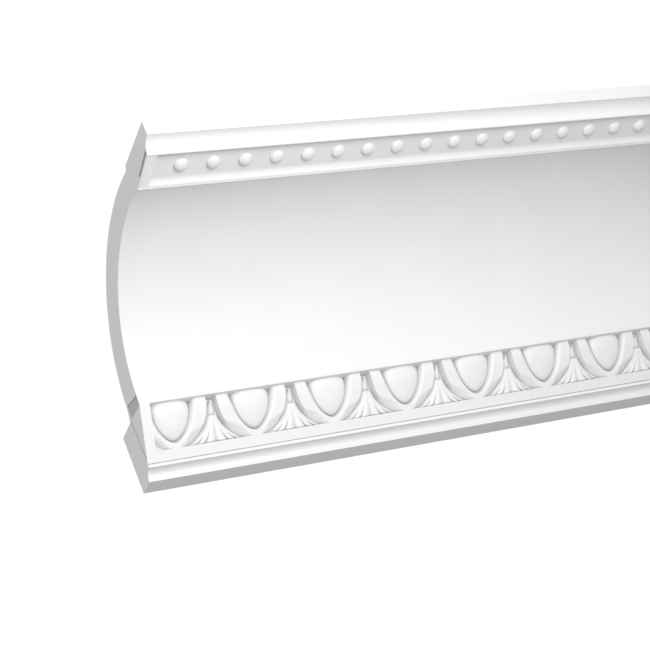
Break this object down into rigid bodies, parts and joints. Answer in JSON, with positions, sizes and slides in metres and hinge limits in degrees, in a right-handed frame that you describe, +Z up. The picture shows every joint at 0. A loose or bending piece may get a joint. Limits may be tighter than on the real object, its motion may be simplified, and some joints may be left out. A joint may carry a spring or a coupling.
{
  "type": "cornice moulding length",
  "caption": "Straight length of cast cornice moulding with a deep cove, a row of round beads under the crown and an egg-and-dart band above the foot.",
  "frame": {"origin": "middle of the flat foot face that lies against the wall", "axes": "+X along the moulding, towards the right end as seen from the room; +Y into the wall; +Z up, towards the ceiling"},
  "size_m": [0.444, 0.1855, 0.15],
  "materials": {
    "primed_white": "smooth factory-primed white, satin-matt"
  },
  "bodies": {
    "root": {"cornice_moulding": "primed_white"}
  },
  "joints": []
}
